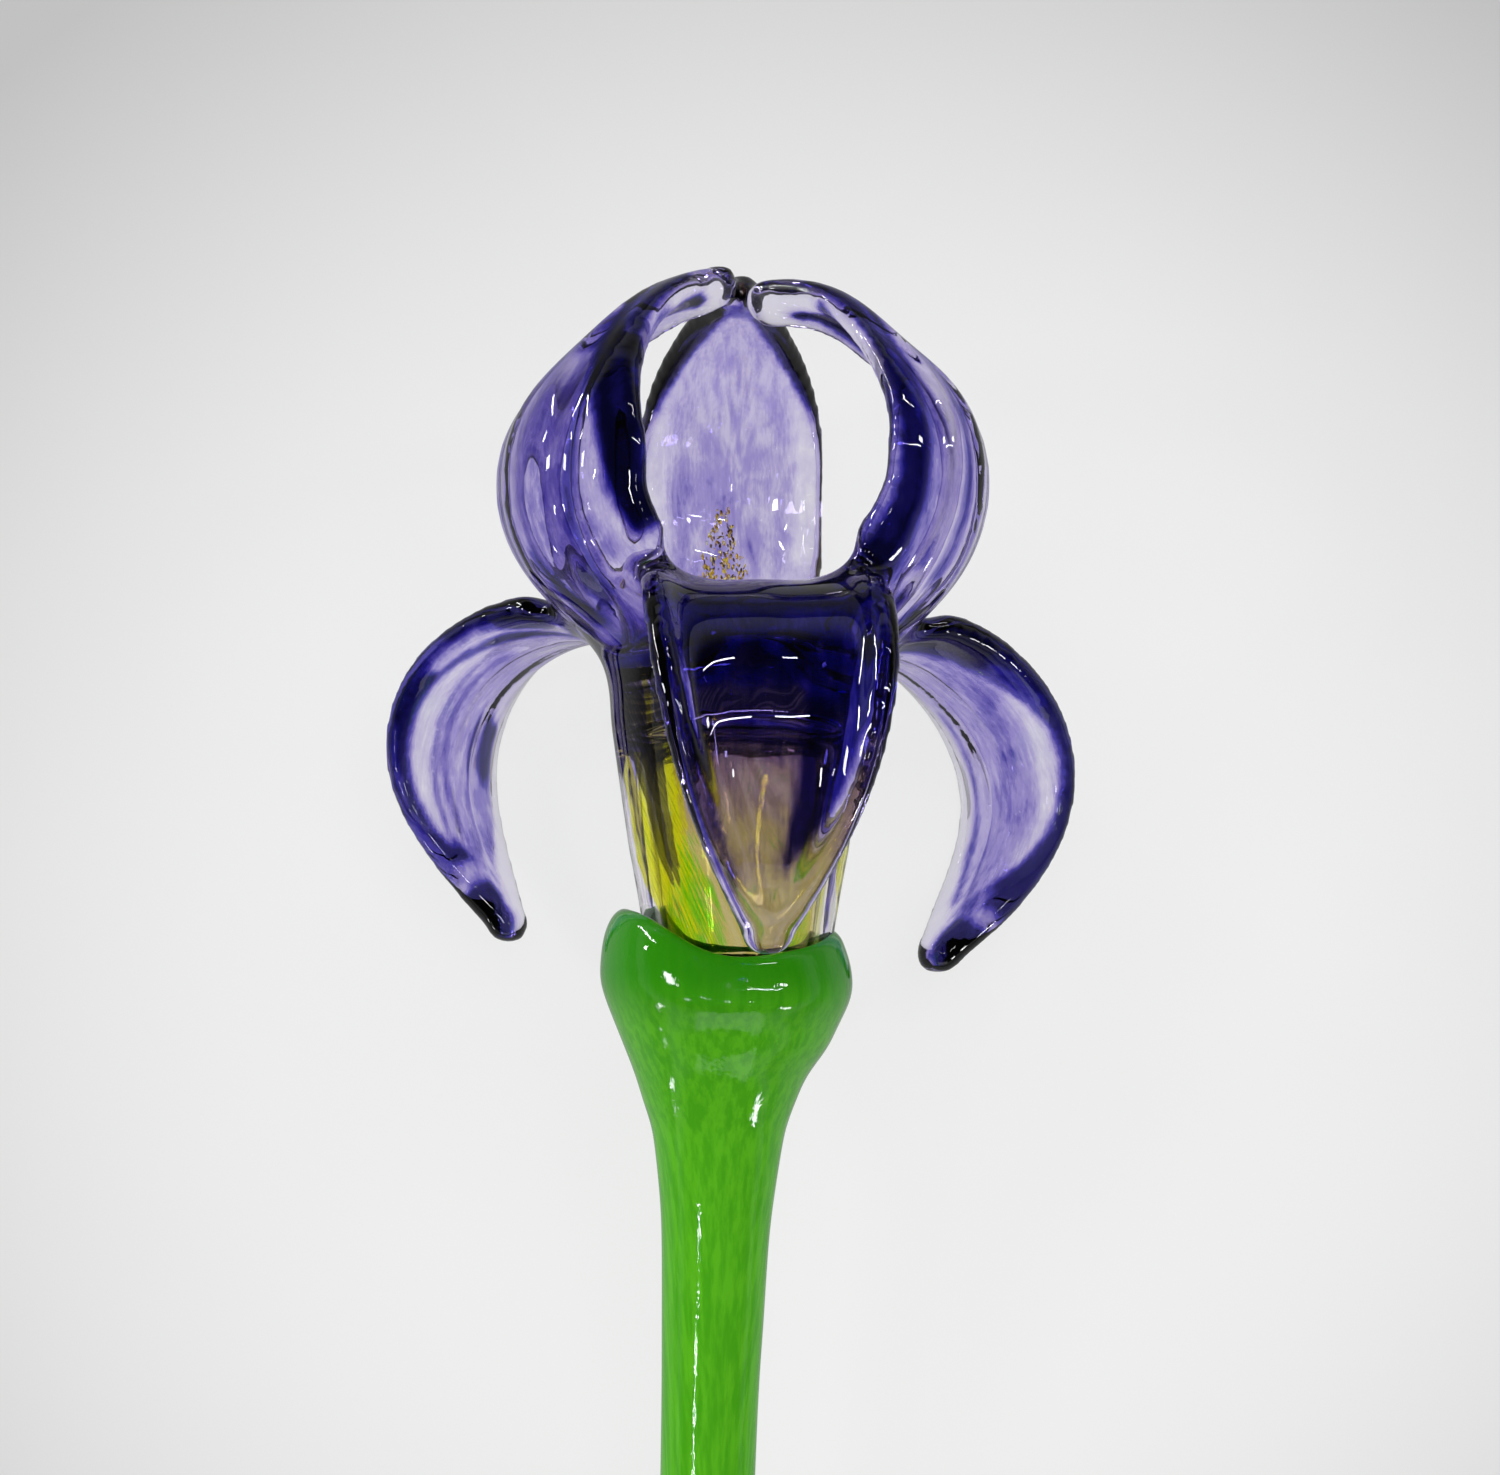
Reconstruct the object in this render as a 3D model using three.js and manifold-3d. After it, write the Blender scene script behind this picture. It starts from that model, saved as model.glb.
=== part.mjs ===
// A hand-blown glass iris: three upright petals, three hanging petals, a throat tube and a stem with a
// folded collar. Each piece is shaped in the flower's own upright frame (x right, y up the stem with 0 at
// the collar's lip, z towards the flower's front), and one group then lays the flower on its back.
// Lengths are in millimetres and angles in degrees.
import * as THREE from 'three';
import Module from 'manifold-3d';

const wasm = await Module();
wasm.setup();

// Clearance between neighbouring pieces.
const GAP = 0.3;

// How the flower lies: it rests on the two side falls and on the end of its stem.
const TILT = 7.1;
const ROLL = -3.15;
const ORIGIN_SHIFT = [-0.019, 80.861, 38.5];

// Facets of a petal: rows along it, columns across half of it, and rows of its round tip.
const PETAL_ROWS = 24;
const HALF_COLUMNS = 5;
const TIP_ROWS = 3;
const TURN_SIDES = 32;

// Stations along a petal, evenly spaced from root to tip. The spine is [distance from the axis, height];
// half_width is measured along the cupped section, and cup is half the angle that the section bends through.
const STANDARD_THICK = { middle: [4.5, 4, 3.2, 3, 3, 3.5, 4.5, 5.5], rim: [5, 5, 5.5, 5.5, 5.5, 5.5, 5.5, 5.8] };
const FALL_THICK = { middle: [4.5, 4, 3.2, 3, 3, 3.5, 4.5, 5.5], rim: [5, 5, 5.5, 5.5, 5.5, 5.5, 6, 6.5] };
const PETALS = {
  fall_front: {
    azimuth: 6.3,
    spine: [[12, 36], [16.5, 46.8], [26.2, 50.2], [37.1, 46.6], [45.2, 37], [47.8, 24.6], [45, 11.6], [38.7, 1]],
    half_width: [10, 13.8, 16.7, 17.9, 17.4, 14.2, 8.9, 3.6],
    cup: [15, 15, 16, 26, 36, 34, 20, 5],
    thick: FALL_THICK,
  },
  fall_left: {
    azimuth: -121.9,
    spine: [[12, 34], [18.6, 42.8], [28.3, 44.6], [39.1, 41.3], [47.7, 33.9], [51, 22.6], [48, 10.5], [42.3, 0.7]],
    half_width: [10, 14.3, 15.7, 15.6, 15.4, 13.3, 8.5, 3.3],
    cup: [20, 30, 35, 38, 38, 35, 20, 5],
    thick: FALL_THICK,
  },
  fall_right: {
    azimuth: 127.8,
    spine: [[12, 33], [18.6, 41.2], [29.3, 41.7], [40.1, 36.5], [48.7, 28], [51.5, 16.5], [46.6, 4.6], [39.2, -4.1]],
    half_width: [10.1, 13.9, 16, 16.1, 14.9, 12.3, 8.7, 3.8],
    cup: [20, 30, 35, 38, 38, 35, 20, 5],
    thick: FALL_THICK,
  },
  standard_left: {
    azimuth: -53.4,
    spine: [[12, 34], [21.5, 43.4], [32.7, 52.3], [38.5, 64.3], [35.5, 77.8], [25.2, 87.5], [14.5, 93.5], [5.2, 95.8]],
    half_width: [9.2, 16.6, 19.9, 19.7, 18.1, 8.8, 4, 3.2],
    cup: [30, 45, 62, 68, 66, 60, 40, 10],
    thick: STANDARD_THICK,
  },
  standard_right: {
    azimuth: 63.4,
    spine: [[12, 33.9], [21.3, 42.4], [31.7, 51.3], [37.8, 63.6], [35.8, 77.2], [26, 86.8], [15.6, 93.2], [6.2, 93.8]],
    half_width: [9.2, 14.8, 18.5, 16.3, 13.7, 6.9, 4.2, 3.2],
    cup: [30, 45, 55, 60, 58, 50, 35, 10],
    thick: STANDARD_THICK,
  },
  standard_back: {
    azimuth: 182.6,
    spine: [[12, 34], [21.1, 43.3], [31.6, 52.1], [37, 63.9], [34.4, 77.1], [24.1, 87.3], [12.1, 93.1], [1.8, 95.5]],
    half_width: [9, 12.4, 14.7, 15.4, 15.3, 12.3, 6.9, 3.2],
    cup: [30, 40, 45, 50, 50, 45, 35, 10],
    thick: STANDARD_THICK,
  },
};

// Throat tube, bottom to top, as [height, radius]. Its top is dished.
const TUBE = [
  [-6, 13], [-4, 13.6], [6, 15.3], [12, 16.4], [20, 17.6], [27, 18.6], [34, 19.5], [41, 20.5], [43.5, 21.2],
];
const TUBE_DISH = [[43.8, 18.5], [42.4, 12]];
const TUBE_DISH_CENTRE = 41.2;

// Collar and stem, top to bottom, as [height, radius, sideways shift]. The collar's lip is higher at the
// left and at the back.
const COLLAR_TOP_CENTRE = 1.5;
const STEM = [
  [2.4, 13.6, -1.5], [3.4, 15.6, -1.8], [1.6, 17.4, -1.9], [-2, 18.6, -1.9], [-6.5, 18.8, -1.9], [-10.5, 18.2, -1.8],
  [-14.5, 16.6, -1.8], [-18, 15, -2], [-21.7, 13, -2.6], [-25.5, 11.5, -2.9], [-29, 10.3, -3], [-33, 9.5, -3.1],
  [-40, 8.6, -3.3], [-48, 8, -3.6], [-60, 7.6, -4], [-75, 7.2, -4.5], [-110, 6.9, -5.4], [-150, 6.7, -6.4],
  [-200, 6.5, -7.5], [-240, 6.3, -8.3], [-259.5, 6.2, -8.6], [-260.6, 5.4, -8.6], [-261, 4.2, -8.6],
];
const LIP_FADE = [-11, -1];
const LIP_RISE = { everywhere: 0.4, left: 2.1, back: 2.3 };

const radians = THREE.MathUtils.degToRad;

// Natural cubic spline through evenly spaced values, as a function of u from 0 to 1.
function spline(values) {
  const last = values.length - 1;
  const bend = new Array(last + 1).fill(0);
  const carry = new Array(last + 1).fill(0);
  for (let i = 1; i < last; i++) {
    const pivot = 4 - carry[i - 1];
    carry[i] = 1 / pivot;
    bend[i] = (6 * (values[i - 1] - 2 * values[i] + values[i + 1]) - bend[i - 1]) / pivot;
  }
  for (let i = last - 1; i > 0; i--) {
    bend[i] -= carry[i] * bend[i + 1];
  }
  return (u) => {
    const i = Math.min(Math.floor(u * last), last - 1);
    const t = u * last - i;
    const s = 1 - t;
    return values[i] * s + values[i + 1] * t + ((s ** 3 - s) * bend[i] + (t ** 3 - t) * bend[i + 1]) / 6;
  };
}

// Places round a petal's section: across runs from 1 to -1 on the top side and back on the under side.
function sectionPlaces() {
  const places = [];
  const across = (k) => Math.sign(k) * (1 - (1 - Math.abs(k / HALF_COLUMNS)) ** 2.2);
  for (let k = HALF_COLUMNS; k >= -HALF_COLUMNS; k--) {
    places.push({ across: across(k), side: 1 });
  }
  for (let k = 1 - HALF_COLUMNS; k < HALF_COLUMNS; k++) {
    places.push({ across: across(k), side: -1 });
  }
  return places;
}

// One petal as rings round its spine: a cupped section with thick round rims, ending in a round tip.
// grow makes every wall that much thicker on each side.
function petalSolid(petal, grow = 0) {
  const outward = spline(petal.spine.map((p) => p[0]));
  const height = spline(petal.spine.map((p) => p[1]));
  const halfWidth = spline(petal.half_width);
  const middle = spline(petal.thick.middle);
  const rim = spline(petal.thick.rim);
  const cup = spline(petal.cup);
  const turn = radians(petal.azimuth);
  const places = sectionPlaces();
  const rings = [];
  const centres = [];
  for (let row = 0; row <= PETAL_ROWS + TIP_ROWS; row++) {
    const u = Math.min(row / PETAL_ROWS, 1);
    const step = 0.5 / PETAL_ROWS;
    const before = Math.max(u - step, 0);
    const after = Math.min(u + step, 1);
    const along = new THREE.Vector2(outward(after) - outward(before), height(after) - height(before)).normalize();
    const tipAngle = radians((Math.max(row - PETAL_ROWS, 0) * 84) / TIP_ROWS);
    const shrink = Math.cos(tipAngle);
    const rimHalf = rim(u) / 2 + grow;
    const reach = rimHalf * Math.sin(tipAngle);
    const spineR = outward(u) + along.x * reach;
    const spineY = height(u) + along.y * reach;
    const width = (halfWidth(u) + grow) * shrink;
    const bend = Math.max(radians(cup(u)), 0.001);
    const bendRadius = width / bend;
    const power = Math.max(2, (2 * (halfWidth(u) + grow)) / rimHalf);
    const ring = places.map(({ across, side }) => {
      const fullness = Math.sqrt(Math.max(0, 1 - Math.abs(across) ** power));
      const middleHalf = middle(u) / 2 + grow;
      const half = (middleHalf + (rimHalf - middleHalf) * Math.abs(across) ** 3) * fullness * side * shrink;
      const angle = bend * across;
      const sideways = (bendRadius + half) * Math.sin(angle);
      const lift = (bendRadius + half) * Math.cos(angle) - bendRadius;
      const r = spineR + lift * along.y;
      return new THREE.Vector3(
        r * Math.sin(turn) + sideways * Math.cos(turn),
        spineY - lift * along.x,
        r * Math.cos(turn) - sideways * Math.sin(turn),
      );
    });
    rings.push(ring);
    centres.push(new THREE.Vector3(spineR * Math.sin(turn), spineY, spineR * Math.cos(turn)));
  }
  return solidFromRings(rings, centres[0], centres[centres.length - 1]);
}

// A turned piece as rings round an upright line; each ring is {y, radius, shift, rise(cosine, sine)}.
function turnedSolid(profile, firstCentre, lastCentre) {
  const rings = profile.map(({ y, radius, shift, rise }) => {
    const ring = [];
    for (let i = 0; i < TURN_SIDES; i++) {
      const angle = (2 * Math.PI * i) / TURN_SIDES;
      const c = Math.cos(angle);
      const s = Math.sin(angle);
      ring.push(new THREE.Vector3(shift + radius * c, y + (rise ? rise(c, s) : 0), radius * s));
    }
    return ring;
  });
  return solidFromRings(rings, firstCentre, lastCentre);
}

// Joins rings of equal count into one closed solid, with a fan at each end.
function solidFromRings(rings, firstCentre, lastCentre) {
  const count = rings[0].length;
  const points = rings.flat().concat([firstCentre, lastCentre]);
  const triangles = [];
  for (let row = 0; row + 1 < rings.length; row++) {
    for (let i = 0; i < count; i++) {
      const next = (i + 1) % count;
      const a = row * count + i;
      const b = row * count + next;
      triangles.push([a, b, b + count], [a, b + count, a + count]);
    }
  }
  const first = points.length - 2;
  const lastRow = (rings.length - 1) * count;
  for (let i = 0; i < count; i++) {
    const next = (i + 1) % count;
    triangles.push([first, next, i], [first + 1, lastRow + i, lastRow + next]);
  }
  const volume = triangles.reduce((sum, [a, b, c]) => sum + points[a].dot(points[b].clone().cross(points[c])), 0);
  const outward = volume > 0 ? triangles : triangles.map(([a, b, c]) => [a, c, b]);
  return new wasm.Manifold(new wasm.Mesh({
    numProp: 3,
    vertProperties: new Float32Array(points.flatMap((p) => p.toArray())),
    triVerts: new Uint32Array(outward.flat()),
  }));
}

function tubeSolid(grow = 0) {
  const bottom = TUBE[0][0];
  const wall = TUBE.map(([y, radius]) => ({ y: y === bottom ? y - grow : y, radius: radius + grow, shift: 0 }));
  const dish = TUBE_DISH.map(([y, radius]) => ({ y: y + grow, radius: radius + grow, shift: 0 }));
  const foot = new THREE.Vector3(0, bottom - grow, 0);
  return turnedSolid(wall.concat(dish), foot, new THREE.Vector3(0, TUBE_DISH_CENTRE + grow, 0));
}

function stemSolid() {
  const profile = STEM.map(([y, radius, shift]) => {
    const fade = THREE.MathUtils.smoothstep(y, LIP_FADE[0], LIP_FADE[1]);
    const rise = (c, s) => fade * (LIP_RISE.everywhere - LIP_RISE.left * c - LIP_RISE.back * s);
    return { y, radius, shift, rise };
  });
  const top = new THREE.Vector3(STEM[0][2], COLLAR_TOP_CENTRE, 0);
  const end = STEM[STEM.length - 1];
  return turnedSolid(profile, top, new THREE.Vector3(end[2], end[0], 0));
}

// The largest single body of a cut solid.
function mainBody(solid) {
  return solid.decompose().sort((a, b) => b.volume() - a.volume())[0];
}

function geometryFrom(solid) {
  const mesh = solid.getMesh();
  const geometry = new THREE.BufferGeometry();
  geometry.setAttribute('position', new THREE.BufferAttribute(mesh.vertProperties, 3));
  geometry.setIndex(new THREE.BufferAttribute(mesh.triVerts, 1));
  geometry.computeVertexNormals();
  return geometry;
}

const lie = new THREE.Euler(radians(TILT), radians(ROLL), 0, 'XYZ');
const floorNormal = new THREE.Vector3(0, 0, 1)
  .applyMatrix4(new THREE.Matrix4().makeRotationFromEuler(lie).transpose());

// Grinds the small flat where a piece rests.
function rested(solid) {
  return mainBody(solid.trimByPlane(floorNormal.toArray(), -ORIGIN_SHIFT[2]).simplify(0.01));
}

const solids = {};
const tubeSpace = tubeSolid(GAP);
solids.throat_tube = tubeSolid();
solids.stem = rested(mainBody(stemSolid().subtract(tubeSpace)));

// Each petal starts at the tube and at the petals made before it.
let taken = tubeSpace;
for (const [name, petal] of Object.entries(PETALS)) {
  solids[name] = rested(mainBody(petalSolid(petal).subtract(taken)));
  taken = taken.add(petalSolid(petal, GAP));
}

const LILAC = { color: 0x8f86c8, roughness: 0.06, metalness: 0 };
const INDIGO = { color: 0x4a4788, roughness: 0.06, metalness: 0 };
const CLEAR = { color: 0xb9b56a, roughness: 0.06, metalness: 0 };
const GREEN = { color: 0x3f9a35, roughness: 0.08, metalness: 0 };
const GLASS = {
  stem: GREEN,
  throat_tube: CLEAR,
  fall_front: INDIGO,
  fall_left: LILAC,
  fall_right: LILAC,
  standard_left: LILAC,
  standard_right: LILAC,
  standard_back: LILAC,
};

const flower = new THREE.Group();
flower.rotation.copy(lie);
flower.position.set(...ORIGIN_SHIFT);
for (const [name, look] of Object.entries(GLASS)) {
  const mesh = new THREE.Mesh(geometryFrom(solids[name]), new THREE.MeshStandardMaterial(look));
  mesh.name = name;
  flower.add(mesh);
}

const part = new THREE.Group();
part.add(flower);

export default part;
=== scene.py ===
"""A hand-blown glass iris on its back: petals fused at the throat, a streaked tube and a green stem."""
import math

import bpy
import numpy as np
from mathutils import Matrix, Vector


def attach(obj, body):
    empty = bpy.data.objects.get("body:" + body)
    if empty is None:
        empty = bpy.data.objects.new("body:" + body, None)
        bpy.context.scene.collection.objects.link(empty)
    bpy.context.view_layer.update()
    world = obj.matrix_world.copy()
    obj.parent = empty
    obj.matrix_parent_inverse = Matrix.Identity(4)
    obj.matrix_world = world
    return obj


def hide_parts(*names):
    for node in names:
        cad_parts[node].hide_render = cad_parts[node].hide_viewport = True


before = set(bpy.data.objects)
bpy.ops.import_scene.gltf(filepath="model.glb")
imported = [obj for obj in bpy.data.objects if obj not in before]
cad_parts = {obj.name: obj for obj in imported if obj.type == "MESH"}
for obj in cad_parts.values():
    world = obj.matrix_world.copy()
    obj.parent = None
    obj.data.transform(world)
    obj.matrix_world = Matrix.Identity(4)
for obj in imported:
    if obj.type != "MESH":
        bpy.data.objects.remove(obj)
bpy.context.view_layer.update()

# Sizes and places

# How the flower lies, as its solids do. The flower's own frame is in millimetres: x right, y up the stem
# with 0 at the collar's lip, z towards its front.
TILT = 7.1
ROLL = -3.15
ORIGIN_SHIFT = np.array([-0.019, 80.861, 38.5])
MM = 0.001

# The camera looks straight at the flower's front.
VIEW_AIM = (1.65, 28.875)
VIEW_DISTANCE = 850.0
VIEW_WIDTH = 225.0

# Petals, at eight even stations from root to tip (u from 0 to 1): the spine as (distance from the axis,
# height), the half width along the bent section, half the angle it bends through, its twist, and the
# thickness of middle and rims. A rib is (across, width, rise on the back, rise on the hollow side). late
# above 1 keeps the section flat in the middle.
MIDDLE = [4.5, 4, 3.2, 3, 3, 3.5, 4.5, 5.5]
STANDARD_RIM = [5, 5, 5.5, 5.5, 5.5, 5.5, 5.5, 5.8]
FALL_RIM = [5, 5, 5.5, 5.5, 5.5, 5.5, 6, 6.5]
PETALS = {
    "fall_front": dict(
        azimuth=6.3,
        spine=[(12, 36), (16.5, 46.8), (26.2, 50.2), (37.1, 46.6), (45.2, 37), (47.8, 24.6), (45, 11.6),
               (38.7, 1)],
        half_width=[10, 13.8, 16.7, 17.9, 17.4, 14.2, 8.9, 3.6],
        cup=[15, 15, 16, 26, 36, 34, 20, 5],
        rim=FALL_RIM,
        ribs=[(0.02, 2.2, 0, 0.12)],
        late=3.0,
    ),
    "fall_left": dict(
        azimuth=-121.9,
        spine=[(12, 34), (18.6, 42.8), (28.3, 44.6), (39.1, 41.3), (47.7, 33.9), (51, 22.6), (48, 10.5),
               (42.3, 0.7)],
        half_width=[10, 14.3, 15.7, 15.6, 15.4, 13.3, 8.5, 3.3],
        cup=[20, 30, 35, 38, 38, 35, 20, 5],
        rim=FALL_RIM,
        ribs=[(0, 1.1, -0.3, 0.5), (0.35, 2.2, 0.2, 0.3), (-0.4, 2.4, 0.2, 0.3)],
    ),
    "fall_right": dict(
        azimuth=127.8,
        spine=[(12, 33), (18.6, 41.2), (29.3, 41.7), (40.1, 36.5), (48.7, 28), (51.5, 16.5), (46.6, 4.6),
               (39.2, -4.1)],
        half_width=[10.1, 13.9, 16, 16.1, 14.9, 12.3, 8.7, 3.8],
        cup=[20, 30, 35, 38, 38, 35, 20, 5],
        rim=FALL_RIM,
        ribs=[(0, 1.1, -0.3, 0.5), (0.4, 2.2, 0.2, 0.3), (-0.35, 2.4, 0.2, 0.3)],
    ),
    "standard_left": dict(
        azimuth=-53.4,
        spine=[(12, 34), (21.5, 43.4), (32.7, 52.3), (38.5, 64.3), (35.5, 77.8), (25.2, 87.5),
               (14.5, 93.5), (3.7, 95.9)],
        half_width=[9.2, 16.6, 19.9, 19.7, 18.1, 9.4, 5.0, 3.4],
        cup=[30, 45, 62, 68, 68, 72, 80, 50],
        rim=STANDARD_RIM,
        twist=[0, 0, 0, 0, 4, 16, 36, 44],
        ribs=[(0.42, 0.9, -0.7, 0.1), (0.6, 2.2, 0.35, 0.2), (0.2, 2.4, 0.35, 0.2), (-0.35, 1.2, -0.5, 0)],
    ),
    "standard_right": dict(
        azimuth=63.4,
        spine=[(12, 33.9), (21.3, 42.4), (31.7, 51.3), (37.8, 63.6), (35.8, 77.2), (26, 86.8),
               (15.6, 93.2), (4.6, 93.7)],
        half_width=[9.2, 14.8, 18.5, 16.3, 13.7, 7.8, 4.9, 3.4],
        cup=[30, 45, 55, 60, 64, 70, 78, 50],
        rim=STANDARD_RIM,
        twist=[0, 0, 0, 0, -4, -16, -36, -44],
        ribs=[(-0.5, 1.1, -0.6, 0.1), (-0.32, 1.8, 0.35, 0.2), (-0.16, 1, -0.5, 0.1), (0.3, 1.2, -0.4, 0)],
    ),
    "standard_back": dict(
        azimuth=182.6,
        spine=[(12, 34), (21.1, 43.3), (31.6, 52.1), (37, 63.9), (34.4, 77.1), (24.1, 87.3), (12.1, 93.1),
               (1.8, 95.5)],
        half_width=[9, 12.4, 14.7, 15.4, 15.3, 12.3, 6.9, 3.2],
        cup=[30, 40, 45, 50, 50, 45, 35, 10],
        rim=STANDARD_RIM,
        ribs=[(0, 1.6, 0.35, 0), (0.32, 2.4, -0.2, 0.1), (-0.32, 2.4, -0.2, 0.1)],
    ),
}
PETAL_NAMES = list(PETALS)
# How points crowd at the rims, where ribs fade, the angle that closes a tip, and how far from its middle
# sheet glass counts as a petal's.
RIM_CROWDING = 2.2
RIB_START = (0.1, 0.3)
RIB_END = (1.0, 0.86)
TIP_ANGLE = 87
PETAL_DEPTH = 2.5
THROAT = len(PETALS)

# The throat's wall as (height, outer radius), bottom to top, closed by a dome, and the hollow in it.
THROAT_WALL = [(-5.8, 13), (-4, 13.6), (6, 15.3), (12, 16.4), (20, 17.6), (27, 18.6), (34, 19.5), (40, 20)]
THROAT_DOME = [(42.6, 18.6), (44.2, 14.5), (44.8, 8)]
THROAT_DOME_CENTRE = 44.8
HOLLOW = [(-5.8, 11.4), (6, 12.9), (12, 13.9), (20, 14.9), (26, 15.1), (29.6, 14), (31.7, 11), (32.6, 6.5)]
HOLLOW_TOP = 32.9
# Where the throat ends, the radius that its streaks are laid at, and their lean in radians a millimetre.
THROAT_END = 39.5
THROAT_GIRTH = 18
STREAK_LEAN = 0.03
# The streaked lining inside it, as (height, outer radius), and its thickness.
LINING = [
    (-5.3, 10.9), (6, 12.4), (12, 13.4), (20, 14.35), (25, 14.4), (28.2, 13.2), (30.2, 10.2), (31, 6.5),
]
LINING_TOP = 31.3
LINING_WALL = 1.0
# Where its inside drops, its slimness and waves of (share, number, lean), and where its clear middle ends.
LINING_SHOULDER = (20, 30)
LINING_SLIMMER = 0.98
LINING_WAVES = [(0.012, 3, 0.07), (0.008, 7, -0.11)]
LINING_MIDDLE = ((-9, -6), (14, 11))
LINING_GIRTH = 16

# Collar and stem as (height, radius, sideways shift), from the recess that holds the tube down to the end.
RECESS = [
    (-6.6, 6, -0.6), (-6.6, 12, -0.8), (-6.2, 13.2, -0.8), (-4, 13.95, -0.8), (-1.4, 14.4, -0.9),
    (0.8, 14.7, -1),
]
RECESS_FLOOR = -6.2
STEM = [
    (2.4, 15.1, -1.2), (2.8, 15.7, -1.5), (2.5, 16.4, -1.7), (1.6, 17.2, -1.8), (-0.2, 18, -1.9),
    (-2.6, 18.6, -1.9), (-5.4, 18.9, -1.9), (-8, 18.8, -1.9), (-11, 18, -1.8), (-14.5, 16.6, -1.8),
    (-18, 15, -2), (-21.7, 13, -2.6), (-25.5, 11.5, -2.9), (-29, 10.3, -3), (-33, 9.5, -3.1),
    (-40, 8.6, -3.3), (-48, 8, -3.6), (-60, 7.6, -4), (-75, 7.2, -4.5), (-110, 6.9, -5.4),
    (-150, 6.7, -6.4), (-200, 6.5, -7.5), (-240, 6.3, -8.3), (-258.5, 6.2, -8.6), (-260, 5.8, -8.6),
    (-260.8, 4.8, -8.6), (-261, 3, -8.6),
]
# How much the collar's lip rises, fading in over these heights, and its waves of (rise, number, angle).
LIP_FADE = (-16, 1)
LIP_RISE = dict(everywhere=-3.6, left=2.25, back=-0.3, sides=2.3)
LIP_WAVES = [(0.45, 3, 0.8), (0.3, 5, 2.2)]

# How fine the fused skin is.
VOXEL = 0.74
# How near a second part is at a weld. Relaxing: the pull in and the push out of a round, and the rounds at
# the welds and then everywhere.
WELD_NEAR = (1.0, 6.0)
PULL_IN = 0.5
PUSH_OUT = 0.53
WELD_ROUNDS = 160
SKIN_ROUNDS = 14

# Gold grains: how many, where along the back petal, how they crowd at their foot, and across it their
# middle, how wide they lie at the foot and how fast that narrows.
GRAINS = 260
GRAIN_SEED = 7
GRAIN_FOOT = 0.29
GRAIN_REACH = 0.14
GRAIN_CROWDING = 2.2
GRAIN_MIDDLE = 0.08
GRAIN_WIDTH = 0.62
GRAIN_TAPER = 3.2
# A grain's size and half its length in sizes, each as (least, most that is added), half its width and depth
# in sizes, and how far it leans off the petal's length.
GRAIN_SIZE = (0.28, 0.42)
GRAIN_LENGTH = (1.2, 1.4)
GRAIN_WIDE = 0.75
GRAIN_DEEP = 0.6
GRAIN_LEAN = 0.3

# The floor's glow: its middle and edges, its brightness inside, outside and outside as the camera sees it,
# and how much a pure reflection loses.
FLOOR_MIDDLE = (0.014, 0.078, 0.0)
FLOOR_EDGES = (0.07, 0.308)
FLOOR_NEAR = 0.77
FLOOR_FAR = 0.13
FLOOR_SEEN_FAR = 0.44
FLOOR_MIRROR_LOSS = 0.6
FLOOR_HALF_WIDTH = 15.0
FLOOR_COLOUR = (0.12, 0.12, 0.12)
# The world's colour at the horizon and overhead, and the heights between which it turns.
SKY_LOW = (0.40, 0.40, 0.40)
SKY_HIGH = (0.02, 0.02, 0.022)
SKY_EDGES = (0.06, 0.36)

# Lamps as (name, place, size, brightness): tubes lie level with the flower's x, the others face LAMP_AIM.
LAMP_AIM = (0, 30, 0)
TUBES = [
    ("far_tube", (425, 920, 426), (445, 14), 55.0),
    ("near_tube", (645, 500, 915), (905, 14), 55.0),
]
WINDOWS = [
    ("far_slit_left", (-701, 690, 96), (34, 500), 50.0),
    ("near_slit_left", (-853, 452, 278), (120, 40), 50.0),
    ("window_left", (-740, 234, 667), (170, 150), 26.0),
    ("window_left_low", (-812, -600, 136), (70, 50), 26.0),
    ("window_right", (726, 423, 557), (100, 60), 30.0),
    ("window_right_low", (737, -631, 317), (110, 110), 26.0),
    ("front_left", (-270, 70, 960), (26, 60), 40.0),
    ("front_middle", (33, -23, 1050), (24, 150), 40.0),
    ("front_low", (-580, -240, 780), (30, 90), 45.0),
    ("front_right", (390, 0, 920), (20, 60), 30.0),
    ("panel_below", (0, -900, 380), (900, 240), 0.9),
]
SOFT_LAMP = ("fill", (110, 275, 1000), (700, 700), 2.0)


# Shapes


def lay(points):
    """Flower millimetres to row metres: turned by ROLL about the stem and by TILT about x, and shifted."""
    p = np.asarray(points, float)
    tilt, roll = math.radians(TILT), math.radians(ROLL)
    x = p[..., 0] * math.cos(roll) + p[..., 2] * math.sin(roll)
    z = -p[..., 0] * math.sin(roll) + p[..., 2] * math.cos(roll)
    y = p[..., 1]
    turned = [x, y * math.cos(tilt) - z * math.sin(tilt), y * math.sin(tilt) + z * math.cos(tilt)]
    return (np.stack(turned, -1) + ORIGIN_SHIFT) * MM


def unlay(points):
    """Row metres back to flower millimetres."""
    p = np.asarray(points, float) / MM - ORIGIN_SHIFT
    tilt, roll = math.radians(TILT), math.radians(ROLL)
    y = p[..., 1] * math.cos(tilt) + p[..., 2] * math.sin(tilt)
    z = -p[..., 1] * math.sin(tilt) + p[..., 2] * math.cos(tilt)
    x = p[..., 0]
    across, front = x * math.cos(roll) - z * math.sin(roll), x * math.sin(roll) + z * math.cos(roll)
    return np.stack([across, y, front], -1)


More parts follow.
